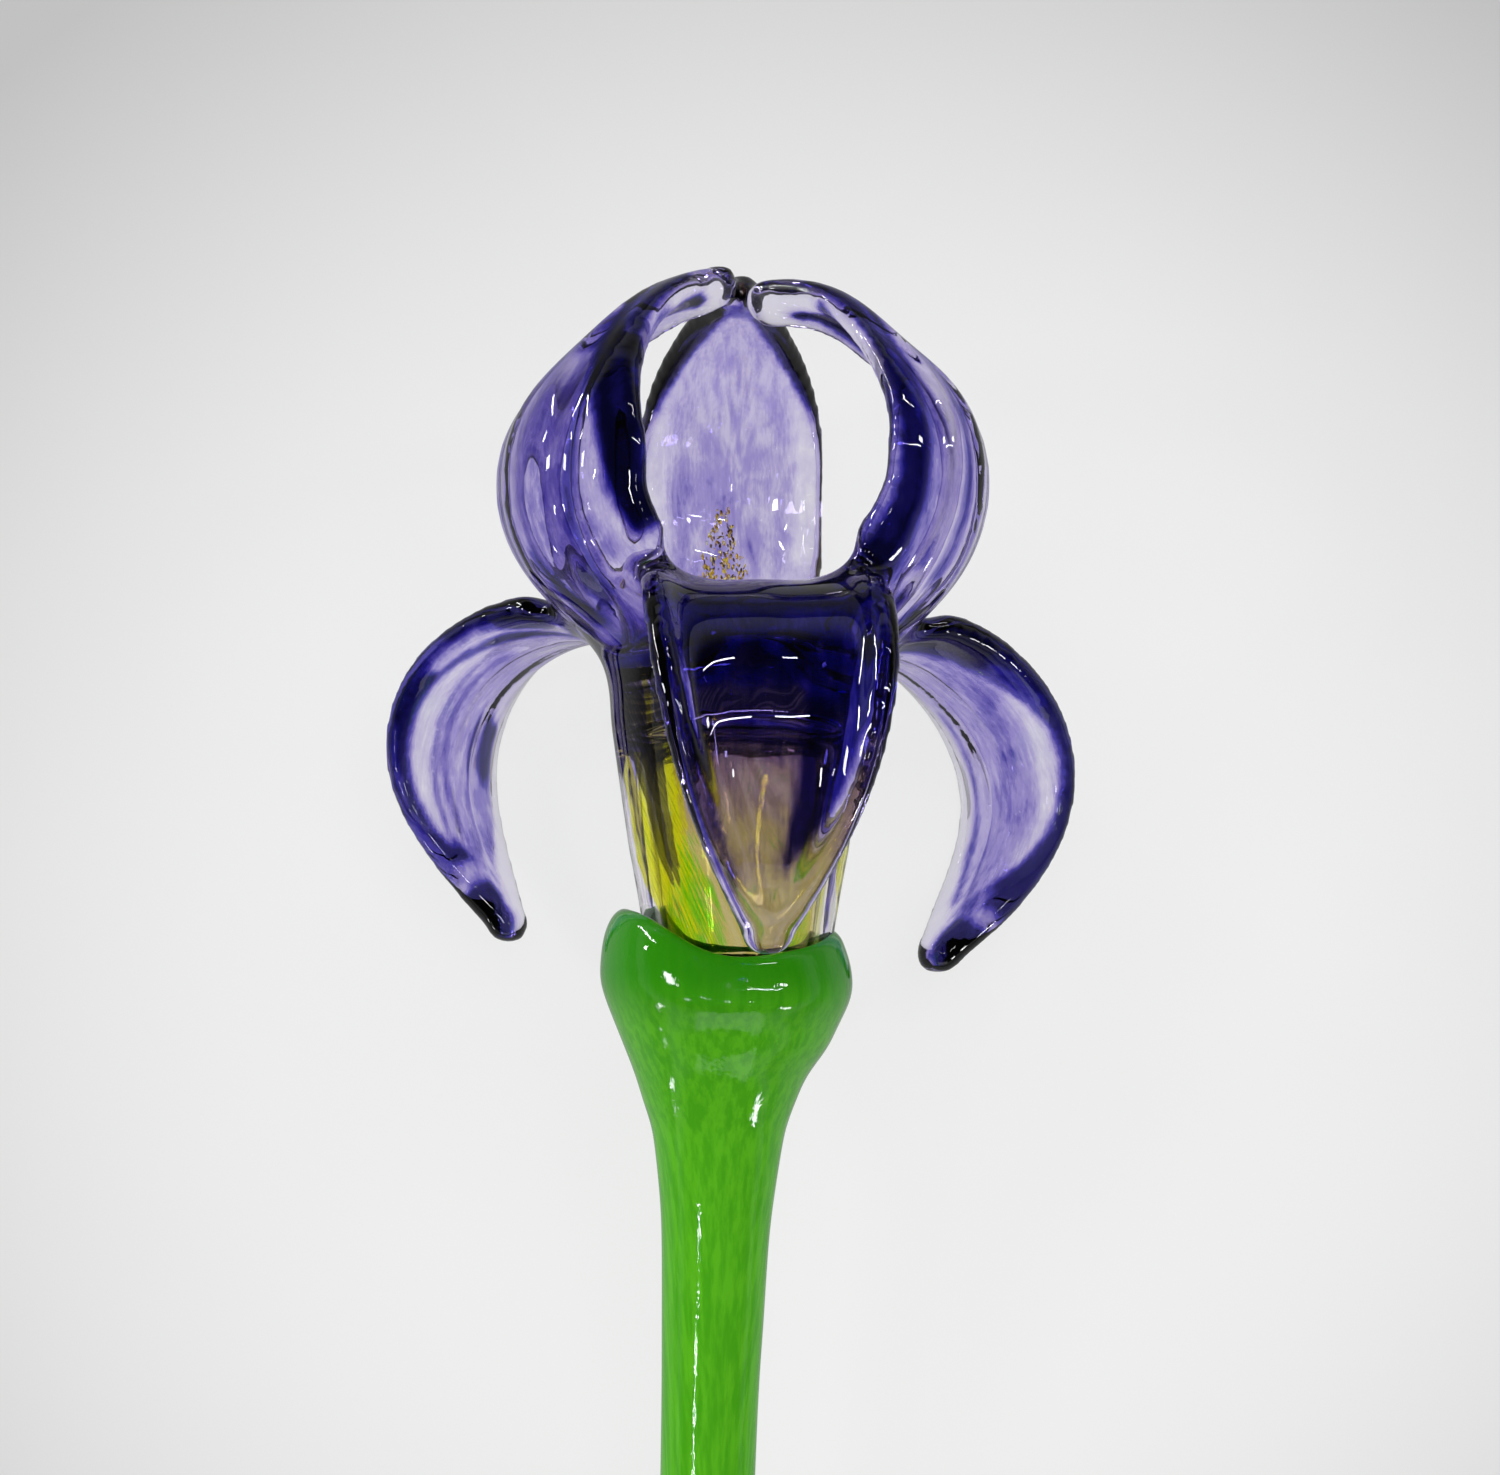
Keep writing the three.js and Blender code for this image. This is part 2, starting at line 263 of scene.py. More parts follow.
def smooth(values, u):
    """Natural cubic spline through evenly spaced values, read at u from 0 to 1."""
    v = np.asarray(values, float)
    v = v[:, None] if v.ndim == 1 else v
    last = len(v) - 1
    system = np.eye(last + 1)
    right = np.zeros_like(v)
    for i in range(1, last):
        system[i, i - 1:i + 2] = 1, 4, 1
        right[i] = 6 * (v[i - 1] - 2 * v[i] + v[i + 1])
    bend = np.linalg.solve(system, right)
    s = np.clip(np.asarray(u, float) * last, 0, last)
    i = np.minimum(s.astype(int), last - 1)
    t = (s - i)[..., None]
    r = 1 - t
    out = v[i] * r + v[i + 1] * t + (r ** 3 - r) * bend[i] / 6 + (t ** 3 - t) * bend[i + 1] / 6
    return out[..., 0] if np.ndim(values[0]) == 0 else out


def step(low, high, x):
    """0 below low, 1 above high, and a smooth rise between them."""
    t = np.clip((np.asarray(x, float) - low) / (high - low), 0, 1)
    return t * t * (3 - 2 * t)


def along_spine(petal, u):
    """Spine points, unit tangents and unit normals at u, in the petal's (distance, height) plane."""
    points = smooth(petal["spine"], u)
    d = np.gradient(points, axis=0)
    tangent = d / np.linalg.norm(d, axis=1)[:, None]
    normal = np.stack([tangent[:, 1], -tangent[:, 0]], 1)
    return points, tangent, normal


def shape_along(petal, u):
    """Half width, bend and twist at u, the last two in radians."""
    twist = petal.get("twist", [0] * 8)
    return smooth(petal["half_width"], u), np.radians(smooth(petal["cup"], u)), np.radians(smooth(twist, u))


def summed_cosine(tilt, late):
    """Mean cosine of a tilt that grows as the way to the power late, up to tilt, as a series."""
    return 1 - tilt ** 2 / (4 * late + 2) + tilt ** 4 / (96 * late + 24) - tilt ** 6 / (4320 * late + 720)


def bent_section(a, cup, late):
    """Sideways place and drop, as shares of the half width, and tilt at a share a of the way to the rim.
    The tilt is end x a^late, so late = 1 gives an arc of 2 x cup. Place and drop sum its cosine and sine,
    as series, and the rim's place is kept where the arc has it."""
    s = np.abs(a)
    end = cup * (late + 1) / 2
    tilt = end * s ** late
    place = s * summed_cosine(tilt, late)
    drop = s * (tilt / (late + 1) - tilt ** 3 / (18 * late + 6) + tilt ** 5 / (600 * late + 120))
    scale = np.sin(cup) / cup / summed_cosine(end, late)
    return np.sign(a) * place * scale, drop * scale, np.sign(a) * tilt


def turn_out(r, sideways, azimuth):
    """x and z of places this far from the axis and sideways on a petal that points this way."""
    turn = math.radians(azimuth)
    return r * math.sin(turn) + sideways * math.cos(turn), r * math.cos(turn) - sideways * math.sin(turn)


def petal_surface(petal, rows=96, m=22, tip_rows=8):
    """One petal: its spine carries a section bent by 2 x cup, whose half thickness is (middle + (rim -
    middle) x across^6) x sqrt(1 - across^power) + ribs. The last rows close it as a quarter circle. Ribs
    are bells across the petal that fade at root and tip."""
    u = np.arange(rows + 1) / rows
    stay = np.append(np.arange(rows + 1), [rows] * tip_rows)
    spine, tangent, normal = (values[stay] for values in along_spine(petal, u))
    columns = (*shape_along(petal, u), smooth(MIDDLE, u) / 2, smooth(petal["rim"], u) / 2, u)
    width, cup, twist, middle, rim, run = (values[stay, None] for values in columns)
    closing = np.radians(np.linspace(0, TIP_ANGLE, tip_rows + 1)[1:])
    shrink = np.append(np.ones(rows + 1), np.cos(closing))[:, None]
    spine = spine + tangent * (rim[-1] * np.append(np.zeros(rows + 1), np.sin(closing))[:, None])
    g = np.arange(-m, m + 1) / m
    g = np.sign(g) * (1 - (1 - np.abs(g)) ** RIM_CROWDING)
    a, side = np.append(g[::-1], g[1:-1]), np.append(np.ones(2 * m + 1), -np.ones(2 * m - 1))
    power = np.maximum(2.0, 2 * width / rim)
    width, middle, rim = width * shrink, middle * shrink, rim * shrink
    full = np.sqrt(np.clip(1 - np.abs(a) ** power, 0, 1))
    half = (middle + (rim - middle) * np.abs(a) ** 6) * full * side
    for at, wide, over, under in petal["ribs"]:
        bell = np.exp(-((a - at) * width / wide) ** 2) * step(*RIB_START, run) * step(*RIB_END, run)
        half = half + bell * np.where(side > 0, over, -under)
    place, drop, tilt = bent_section(a, cup, petal.get("late", 1.0))
    s = place * width + half * np.sin(tilt)
    lift = half * np.cos(tilt) - drop * width
    s, lift = s * np.cos(twist) - lift * np.sin(twist), s * np.sin(twist) + lift * np.cos(twist)
    r = spine[:, 0:1] + lift * normal[:, 0:1]
    y = spine[:, 1:2] + lift * normal[:, 1:2]
    x, z = turn_out(r, s, petal["azimuth"])
    return np.stack([x, y, z], -1)


def rings_to_faces(rows, columns, offset=0):
    """Quads between rows of a grid that closes round its columns, and a fan of triangles at each end."""
    i, j = np.meshgrid(np.arange(rows - 1), np.arange(columns), indexing="ij")
    k = (j + 1) % columns
    quads = np.stack([i * columns + j, i * columns + k, (i + 1) * columns + k, (i + 1) * columns + j], -1)
    first, end = rows * columns, rows * columns + 1
    c = np.arange(columns)
    d = (c + 1) % columns
    near = np.stack([np.full(columns, first), d, c], 1)
    far = np.stack([np.full(columns, end), (rows - 1) * columns + c, (rows - 1) * columns + d], 1)
    return (quads.reshape(-1, 4) + offset).tolist() + (np.concatenate([near, far]) + offset).tolist()


def closed_points(grid):
    """A grid's points, with the middle of its first and of its last row for the fans."""
    return np.concatenate([grid.reshape(-1, 3), grid[0].mean(0)[None], grid[-1].mean(0)[None]])


def add_object(name, data):
    """A new object with this data, in the scene."""
    made = bpy.data.objects.new(name, data)
    bpy.context.scene.collection.objects.link(made)
    return made


def new_piece(name, points_mm, faces):
    """An object of faces between points given in the flower's millimetres."""
    mesh = bpy.data.meshes.new(name)
    mesh.from_pydata(lay(points_mm).tolist(), [], faces)
    mesh.update()
    return add_object(name, mesh)


def face_outward(piece):
    """Turns all faces over if the closed mesh holds a negative volume, and shades it smooth."""
    mesh = piece.data
    co = read_points(mesh)
    mesh.calc_loop_triangles()
    tris = np.zeros(len(mesh.loop_triangles) * 3, np.int32)
    mesh.loop_triangles.foreach_get("vertices", tris)
    a, b, c = co[tris.reshape(-1, 3)].transpose(1, 0, 2)
    if np.einsum("ij,ij->i", a, np.cross(b, c)).sum() < 0:
        mesh.flip_normals()
    mesh.polygons.foreach_set("use_smooth", np.ones(len(mesh.polygons), bool))
    mesh.update()


def read_points(mesh):
    """The mesh's points as an array, in metres."""
    co = np.zeros(len(mesh.vertices) * 3, np.float32)
    mesh.vertices.foreach_get("co", co)
    return co.reshape(-1, 3).astype(float)


def write_points(mesh, co):
    mesh.vertices.foreach_set("co", co.astype(np.float32).ravel())
    mesh.update()


def apply_modifiers(piece):
    """Makes what the piece's modifiers show its own mesh."""
    made = bpy.data.meshes.new_from_object(piece.evaluated_get(bpy.context.evaluated_depsgraph_get()))
    piece.modifiers.clear()
    piece.data = made


def edge_ends(mesh):
    """The two points of each edge, and how many edges meet at each point."""
    edges = np.zeros(len(mesh.edges) * 2, np.int32)
    mesh.edges.foreach_get("vertices", edges)
    a, b = edges.reshape(-1, 2).T
    n = len(mesh.vertices)
    return a, b, np.bincount(a, minlength=n) + np.bincount(b, minlength=n)


def mark(piece, **marks):
    """Keeps numbers or vectors for a piece's points, by name."""
    for name, values in marks.items():
        vectors = np.ndim(values) == 2
        made = piece.data.attributes.new(name, "FLOAT_VECTOR" if vectors else "FLOAT", "POINT")
        made.data.foreach_set("vector" if vectors else "value", np.asarray(values, np.float32).ravel())


def relax(mesh, share, rounds):
    """Each round moves every point half way to its neighbours' mean, and then back out by a little more, so
    that ripples go, but by less where share is high, so that creases round over."""
    co = read_points(mesh)
    a, b, count = edge_ends(mesh)
    for _ in range(rounds):
        for pull in (PULL_IN, -PUSH_OUT * (1 - share[:, None])):
            sums = [np.bincount(a, co[b, k], len(co)) + np.bincount(b, co[a, k], len(co)) for k in range(3)]
            co = co + pull * (np.stack(sums, 1) / count[:, None] - co)
    write_points(mesh, co)


def petal_reading(petal, points, stations=161, batches=8):
    """Where points lie on a petal: the nearest spine place gives u, the angle round the bent section gives
    across, and the rest is the distance from the middle sheet."""
    turn = math.radians(petal["azimuth"])
    r = points[:, 0] * math.sin(turn) + points[:, 2] * math.cos(turn)
    s = points[:, 0] * math.cos(turn) - points[:, 2] * math.sin(turn)
    y = points[:, 1]
    u = np.linspace(0, 1, stations)
    spine, _, normal = along_spine(petal, u)
    near = np.concatenate([
        ((r[part, None] - spine[:, 0]) ** 2 + (y[part, None] - spine[:, 1]) ** 2).argmin(1)
        for part in np.array_split(np.arange(len(points)), batches)
    ])
    lift = (r - spine[near, 0]) * normal[near, 0] + (y - spine[near, 1]) * normal[near, 1]
    left_r = r - spine[near, 0] - lift * normal[near, 0]
    left_y = y - spine[near, 1] - lift * normal[near, 1]
    beyond = np.hypot(left_r, left_y)
    width, cup, twist = (values[near] for values in shape_along(petal, u))
    s, lift = s * np.cos(twist) + lift * np.sin(twist), lift * np.cos(twist) - s * np.sin(twist)
    bend_radius = width / cup
    across = np.arctan2(s, bend_radius + lift) / cup
    off = np.hypot(s, bend_radius + lift) - bend_radius
    outside = np.maximum(np.abs(off) - PETAL_DEPTH, 0) + np.maximum(np.abs(across) - 1, 0) * width + beyond
    u = u[near]
    return dict(u=u, across=across, off=off, outside=outside, sideways=across * width, along=u * 100)


def turned_grid(profile, sides, rise=None):
    """Circles of each radius at each height, shifted sideways; rise(cosine, sine, height) lifts a point."""
    p = np.asarray(profile, float)
    t = np.linspace(0, 2 * np.pi, sides, endpoint=False)
    y, r = p[:, 0:1], p[:, 1:2]
    shift = p[:, 2:3] if p.shape[1] > 2 else 0
    lifted = y + (rise(np.cos(t), np.sin(t), y) if rise else 0 * t)
    return np.stack([shift + r * np.cos(t), lifted, r * np.sin(t)], -1)


def finer(profile, each):
    """A profile with each span split into several by a spline over its places."""
    count = (len(profile) - 1) * each + 1
    return smooth(profile, np.linspace(0, 1, count))


def glass_bloom(sides=128):
    """The six petals and the throat, remeshed as one skin and relaxed, most where two of them meet."""
    points, faces, offset = [], [], 0
    for petal in PETALS.values():
        grid = petal_surface(petal)
        points.append(closed_points(grid))
        faces += rings_to_faces(*grid.shape[:2], offset)
        offset += len(points[-1])
    wall = np.concatenate([finer(HOLLOW, 6)[::-1], finer(THROAT_WALL, 6), finer(THROAT_DOME, 3)])
    rows = turned_grid(wall, sides)
    points.append(np.concatenate([rows.reshape(-1, 3), [(0, HOLLOW_TOP, 0), (0, THROAT_DOME_CENTRE, 0)]]))
    faces += rings_to_faces(*rows.shape[:2], offset)
    bloom = new_piece("glass_bloom", np.concatenate(points), faces)
    skin = bloom.modifiers.new("skin", "REMESH")
    skin.mode = "VOXEL"
    skin.voxel_size = VOXEL * MM
    apply_modifiers(bloom)
    face_outward(bloom)
    outside = np.sort(read_parts(unlay(read_points(bloom.data)))["outside"], axis=0)
    weld = 1 - step(*WELD_NEAR, outside[1])
    relax(bloom.data, weld ** 2, WELD_ROUNDS)
    relax(bloom.data, 0 * weld, SKIN_ROUNDS)
    return bloom


def throat_reading(points):
    """How far points lie outside the throat's glass, and their places round and along it."""
    x, y, z = points.T
    outside = np.maximum(np.hypot(x, z) - np.interp(y, *np.array(THROAT_WALL).T), 0)
    outside = outside + np.maximum(y - THROAT_END, 0)
    return dict(outside=outside, sideways=(np.arctan2(x, z) + STREAK_LEAN * y) * THROAT_GIRTH, along=y)


def read_parts(points):
    """The readings of all petals in their order, and the throat's after them where it has them."""
    readings = [petal_reading(petal, points) for petal in PETALS.values()] + [throat_reading(points)]
    return {key: np.stack([q[key] for q in readings if key in q]) for key in readings[0]}


def streaked_lining(sides=128):
    """A thin lining in the throat's hollow: a turned wall, closed over the top and a little uneven."""
    outside = finer(LINING, 8)
    inside = outside[::-1] - np.array([0.0, LINING_WALL])
    inside[:, 0] -= LINING_WALL * step(*LINING_SHOULDER, inside[:, 0])
    rows = np.concatenate([turned_grid(outside, sides)[::-1], turned_grid(inside, sides)[::-1]])
    y, t = rows[..., 1], np.arctan2(rows[..., 2], rows[..., 0])
    uneven = LINING_SLIMMER
    for share, waves, lean in LINING_WAVES:
        uneven = uneven + share * np.sin(waves * t + y * lean)
    rows[..., 0] *= uneven
    rows[..., 2] *= uneven
    points = np.concatenate([rows.reshape(-1, 3), [(0, LINING_TOP, 0), (0, LINING_TOP - LINING_WALL, 0)]])
    lining = new_piece("streaked_lining", points, rings_to_faces(*rows.shape[:2]))
    face_outward(lining)
    return lining


def green_stem(sides=112, splits=4, last_rows=9):
    """A turned stem: recess for the tube, rolled lip that is higher at the left and back, flare and rod."""
    def rise(c, s, y):
        t = np.arctan2(s, c)
        lift = LIP_RISE["everywhere"] - LIP_RISE["left"] * c - LIP_RISE["back"] * s
        lift = lift + LIP_RISE["sides"] * np.cos(2 * t)
        for rise_mm, waves, angle in LIP_WAVES:
            lift = lift + rise_mm * np.sin(waves * t + angle)
        return step(*LIP_FADE, y) * lift

    grid = turned_grid(np.concatenate([finer(RECESS, splits), finer(STEM, 7)]), sides, rise)
    floor_rows = (len(RECESS) - 1) * splits - last_rows
    grid[:floor_rows, :, 1] = np.minimum(grid[:floor_rows, :, 1], RECESS_FLOOR)
    stem = new_piece("glass_stem", closed_points(grid), rings_to_faces(*grid.shape[:2]))
    face_outward(stem)
    mark(stem, height=unlay(read_points(stem.data))[:, 1])
    return stem


def ground_flats(piece):
    """Grinds small flats where the piece would reach below the surface that the flower lies on."""
    co = read_points(piece.data)
    co[:, 2] = np.maximum(co[:, 2], 0)
    write_points(piece.data, co)


def gold_grains():
    """Grains of gold and brown glass on the hollow side of the back petal, near its foot: small stretched
    octahedra, rounded once, each lying along the petal and fewer higher up."""
    rng = np.random.default_rng(GRAIN_SEED)
    petal = PETALS["standard_back"]
    u = GRAIN_FOOT + GRAIN_REACH * rng.random(GRAINS) ** GRAIN_CROWDING
    spread_here = GRAIN_WIDTH - GRAIN_TAPER * (u - GRAIN_FOOT)
    across = GRAIN_MIDDLE + spread_here * (rng.random(GRAINS) - 0.5)
    size = GRAIN_SIZE[0] + GRAIN_SIZE[1] * rng.random(GRAINS)
    spine, tangent, normal = along_spine(petal, u)
    width, cup, _ = shape_along(petal, u)
    middle = smooth(MIDDLE, u) / 2
    bend_radius = width / cup
    sideways = (bend_radius - middle) * np.sin(cup * across)
    lift = (bend_radius - middle) * np.cos(cup * across) - bend_radius
    r, y = spine[:, 0] + lift * normal[:, 0], spine[:, 1] + lift * normal[:, 1]
    x, z = turn_out(r, sideways, petal["azimuth"])
    centre = np.stack([x, y, z], 1)
    x, z = turn_out(tangent[:, 0], 0.0, petal["azimuth"])
    long = np.stack([x, tangent[:, 1], z], 1)
    long += GRAIN_LEAN * rng.standard_normal((GRAINS, 3))
    long /= np.linalg.norm(long, axis=1)[:, None]
    wide = np.cross(long, rng.standard_normal((GRAINS, 3)))
    wide /= np.linalg.norm(wide, axis=1)[:, None]
    deep = np.cross(long, wide)
    corners = np.array([(1, 0, 0), (-1, 0, 0), (0, 1, 0), (0, -1, 0), (0, 0, 1), (0, 0, -1)], float)
    length = GRAIN_LENGTH[0] + GRAIN_LENGTH[1] * rng.random(GRAINS)
    reach = np.stack([size * length, size * GRAIN_WIDE, size * GRAIN_DEEP], 1)
    axes = np.stack([long, wide, deep], 1) * reach[:, :, None]
    points = centre[:, None] + np.einsum("ck,gkd->gcd", corners, axes)
    sides = [(0, 2, 4), (2, 1, 4), (1, 3, 4), (3, 0, 4), (2, 0, 5), (1, 2, 5), (3, 1, 5), (0, 3, 5)]
    faces = (np.array(sides)[None] + 6 * np.arange(GRAINS)[:, None, None]).reshape(-1, 3)
    grains = new_piece("gold_grains", points.reshape(-1, 3), faces.tolist())
    rounding = grains.modifiers.new("rounding", "SUBSURF")
    rounding.levels = rounding.render_levels = 1
    apply_modifiers(grains)
    face_outward(grains)
    tone = np.repeat(rng.random(GRAINS), len(grains.data.vertices) // GRAINS)
    mark(grains, tone=tone)
    return grains


# Colour laid on the glass


def even(start, end, low, high):
    """The places of a stroke whose limits across stay the same."""
    return [(start, low, high), (end, low, high)]


# Strokes of colour laid over the glass in this order: (amount, places, side if not both). The amount is the
# depth of colour: 0 clear, 25 lilac, 50 violet, 70 indigo and 90 almost black. A place is (u, from across,
# to across) in hundredths, and across is a share of the half width. Most strokes are the glass's own
# colour.
# The near-black bands along the rims are partly its deep colour and partly painted shade, for the dark that
# thick glass shows there. Some strokes are a painted highlight, painted glints and the painted shade of the
# tips' slots.
STROKES = {
    "fall_front": [
        (73, even(0, 57, -150, 150)),
        (87, even(30, 40, -150, 150)),
        (50, even(60, 70, -80, 30)),
        (30, even(72, 88, -80, 80)),
        (12, even(90, 110, -80, 80)),
        (77, [(58, 28, 95), (65, 26, 90), (75, 21, 80), (82, 17, 55), (87, 12, 26)]),
        (66, [(64, 46, 62), (73, 42, 54)]),
        (86, [(60, -92, -78), (90, -88, -74)]),
        (30, [(60, -150, -92), (110, -150, -88)]),
        (20, [(68, 80, 150), (80, 76, 150), (110, 70, 150)]),
    ],
    "fall_left": [
        (40, [(38, -30, 40), (90, -20, 40)]),
        (60, even(0, 20, -150, 150)),
        (19, [(45, 45, 68), (60, 45, 76), (80, 45, 74), (85, 40, 50)]),
        # Dark outer band: partly deep colour, partly painted shade.
        (90, [(12, 40, 150), (30, 50, 150), (42, 64, 150), (50, 72, 150), (62, 79, 150), (75, 80, 150),
            (82, 76, 150), (87, 64, 150)]),
        (76, [(42, 70, 80), (55, 94, 150), (90, 96, 150)]),
        # Painted highlight: clear strokes along the arch, on both sides, where a white reflection lies.
        (0, [(30, 20, 50), (38, 45, 72), (52, 58, 78)], "hollow"),
        (0, [(24, 58, 74), (30, 68, 84), (36, 78, 92), (42, 81, 93), (50, 83, 90)], "back"),
        (80, [(40, 37, 44), (60, 37, 44), (75, 36, 43), (86, 34, 40)]),
        (88, [(59, -25, -15), (62, -50, -12), (70, -50, -15), (80, -48, -36)]),
        (60, [(74, -50, -5), (92, -30, 5)]),
        (90, [(84, 50, 75), (88, 40, 90)]),
        (50, even(89.5, 91.5, 0, 90)),
        (93, [(92.5, 40, 100), (95, 35, 120), (98, 45, 150), (110, 60, 150)]),
        (3, [(50, -150, -60), (62, -150, -52), (80, -150, -48), (92, -150, 0), (110, -150, 40)]),
    ],
    "fall_right": [
        (45, [(38, -65, 35), (90, -50, 30)]),
        (60, even(0, 20, -150, 150)),
        (16, [(45, -86, -62), (80, -80, -60)]),
        # Dark outer band: partly deep colour, partly painted shade.
        (88, [(12, -150, -40), (30, -150, -50), (38, -150, -58), (45, -150, -68), (50, -150, -77),
            (56, -150, -85), (66, -150, -87), (75, -150, -81), (80, -150, -70), (86, -150, -42),
            (90, -150, -25)]),
        (70, [(40, -84, -72), (50, -95, -84)]),
        (66, [(30, -42, -30), (45, -42, -32), (55, -36, -26), (66, -26, -16)]),
        (82, [(50, 28, 36), (62, 29, 37), (80, 22, 34), (90, 3, 15)]),
        (66, [(88, -70, -20), (93, -70, -10)]),
        (93, [(94, -150, -30), (98, -150, -30), (110, -150, -50)]),
        (4, [(40, 50, 150), (80, 45, 150), (90, 22, 150), (96, -10, 150), (110, -20, 150)]),
    ],
    "standard_left": [
        (31, even(20, 110, -250, 250), "hollow"),
        (34, even(20, 80, -150, -5), "back"),
        (66, even(20, 70, -150, -97)),
        (58, even(26, 75, -5, 42), "back"),
        (50, [(30, 47, 72), (70, 47, 68)], "back"),
        (30, [(36, 70, 80), (50, 64, 71), (66, 62, 68)], "back"),
        (88, [(24, 40, 48), (38, 38, 47), (50, 41, 50), (62, 42, 51), (72, 42, 50)], "back"),
        (90, [(20, 0, 30), (26, 0, 20), (30, -2, 10), (34, -6, 2)], "back"),
        (25, [(26, 22, 32), (32, 18, 28)], "back"),
        # Dark band by the rim: partly deep colour, partly painted shade.
        (91, [(32, 80, 150), (38, 76, 150), (50, 65, 150), (60, 52, 150), (67, 36, 150), (73, 30, 90)]),
        (72, [(70, -62, -20), (76, -62, 5), (86, -30, 10)], "back"),
        # Deep colour and painted shade: the dark band carried on over the back towards the tip.
        (96, [(70, 40, 93), (76, 25, 88), (80, 5, 86), (84, 10, 85), (88, 30, 84), (92, 50, 80)], "back"),
        # Painted glints: lighter blue lines inside the dark band.
        (76, even(45, 57, 92, 102), "back"),
        (76, [(58, 72, 84), (72, 58, 72), (80, 36, 50), (84, 30, 42)], "back"),
        (2, even(87, 110, -300, 10), "back"),
        (2, [(66, 95, 160), (74, 90, 160), (82, 87, 160), (88, 84, 160), (91, 78, 160), (95, 60, 160)]),
        (34, even(78, 95, -300, 95), "hollow"),
        # Painted shade: the dark slot in the hollow near the tip.
        (100, [(70, -10, 110), (84, -15, 110), (92, -10, 110), (94.5, 20, 90)], "hollow"),
        (2, even(96, 110, -300, 300)),
        (34, even(93, 97, 20, 85), "back"),
    ],
    "standard_right": [
        (24, even(20, 110, -250, 250), "hollow"),
        (14, even(10, 80, -8, 150), "back"),
        (66, even(20, 70, 97, 150)),
        (68, [(15, -64, -46), (70, -62, -46)], "back"),
        (26, [(15, -45, -26), (74, -42, -24)], "back"),
        (74, [(30, -27, -8), (68, -27, -6)], "back"),
        (78, [(20, -22, -2), (25, -20, -2)], "back"),
        # Dark band by the rim, and its run over the back towards the tip: partly deep colour, partly
        # painted shade.
        (90, [(20, -150, -62), (30, -150, -58), (45, -150, -62), (60, -150, -58), (72, -130, -45)]),
        (95, [(70, -91, -48), (76, -88, -25), (80, -88, -5), (84, -88, 10), (88, -92, 20),
            (90, -95, 20)], "back"),
        (74, [(35, -84, -72), (50, -86, -74), (65, -80, -66), (75, -62, -48), (82, -45, -30)], "back"),
        (2, even(89, 110, -10, 300), "back"),
        (2, [(28, -160, -93), (50, -160, -91), (62, -160, -90), (75, -160, -89), (84, -160, -89),
            (90, -160, -90), (95, -160, -60)]),
        (34, even(76, 95, -70, 300), "hollow"),
        # Painted shade: the dark slot in the hollow near the tip.
        (100, [(76, -50, 90), (84, -75, 86), (87, -50, 84), (92, -45, 80), (94.5, -20, 70)], "hollow"),
        (2, even(96, 110, -300, 300)),
        (30, even(93, 97, -85, -20), "back"),
    ],
    "standard_back": [
        (34, even(30, 90, -75, 75)),
        (42, [(30, -30, 62), (54, -20, 62)]),
        (10, [(30, -150, -72), (70, -150, -80)]),
        (14, [(40, 74, 150), (70, 80, 150)]),
        # Dark bands along both rims: partly deep colour, partly painted shade.
        (95, [(60, 104, 150), (68, 96, 150), (75, 87, 150), (82, 76, 150), (90, 60, 150), (94, 40, 150)]),
        (95, [(60, -150, -104), (68, -150, -96), (75, -150, -87), (82, -150, -76), (90, -150, -60),
            (94, -150, -40)]),
        (80, even(95, 110, -150, 150)),
    ],
}
# Streaks laid on the throat: (kind, amount, places), with a place (height, from angle, to angle) in degrees
# round from the front. They are laid once for each of THROAT_TURNS, turned by it.
THROAT_TURNS = (0, 150)
RISING_STREAK = [(29, -46, -41), (34.5, -46, -40), (40, -46.5, -42.5), (45, -47.5, -43.5)]
THROAT_STREAKS = [
    ("dark", 1, [(7, -40, -38), (10.5, -45, -38), (13.5, -48, -39), (19.5, -52, -41), (25.5, -59, -42),
        (30, -80, -43), (33, -95, -38), (50, -95, -38)]),
    ("yellow", 1, [(-8, -46, -37), (0, -46, -37), (4.5, -56, -38), (7.5, -65, -41), (10.5, -69, -47),
        (13.5, -70, -50), (19.5, -70, -54), (25.5, -74, -61), (29, -79, -70)]),
    ("yellow", 1, [(-8, -38, -27), (7.5, -39, -28), (13.5, -39, -29), (19.5, -41, -31), (25.5, -43, -32),
        (31, -43, -35)]),
    ("dark", 0.25, RISING_STREAK),
    ("yellow", 1, RISING_STREAK),
    ("yellow", 0.55, [(-8, -30, -12), (0, -30, -12), (7.5, -30, -18), (13.5, -31, -26)]),
    ("green", 0.48, [(-8, -62, -6), (2, -46, -8), (6, -40, -12), (10, -36, -20), (14, -34, -26)]),
]
# Each petal's own amount, in the order of PETALS, and more at every root, fading over this span of u.
BASE_AMOUNT = np.array([0.4, 0.26, 0.33, 0.34, 0.28, 0.24])
ROOT_AMOUNT = 0.75
ROOT_FADE = (0.22, 0.05)
# How soft the edges are: a stroke's in shares of the half width, a streak's in degrees. Along the petal or
# the throat, each fades in and out over these spans from its first and its last place.
STROKE_EDGE = 0.05
STROKE_START = (-0.03, 0.01)
STROKE_END = (0.03, -0.01)
STREAK_EDGE = 2.5
STREAK_START = (-3, 1)
STREAK_END = (2, -1)
# The throat is dark above these heights, with waves of (rise, number, degrees) along the edge.
DARK_TOP = (28, 34)
DARK_WAVES = [(1.3, 9, 0), (0.4, 23, 50)]
# The front of the throat, in degrees round it.
FRONT_LEFT = (-40, -30)
FRONT_RIGHT = (66, 50)
